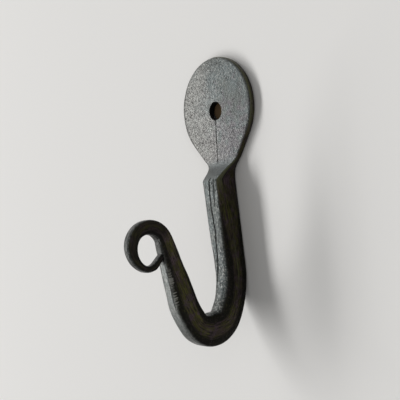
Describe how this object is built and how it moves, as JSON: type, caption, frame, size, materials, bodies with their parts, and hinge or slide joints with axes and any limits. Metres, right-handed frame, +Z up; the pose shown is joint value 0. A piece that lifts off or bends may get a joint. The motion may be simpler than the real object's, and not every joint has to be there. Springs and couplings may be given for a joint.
{
  "type": "wall hook",
  "caption": "Forged-style wall hook: a round pad with a plain screw hole, a square bar bent to a deep J and drawn down to a small closed scroll at the tip.",
  "frame": {"origin": "middle of the screw hole, on the flat back that lies on the wall", "axes": "+Z up the wall, +X along the wall to the right of someone facing it, -Y out of the wall towards that person"},
  "size_m": [0.032, 0.0407, 0.0879],
  "materials": {
    "iron": "blackened, waxed, with a fine hammered grain"
  },
  "bodies": {
    "root": {"hook": "iron"}
  },
  "joints": []
}
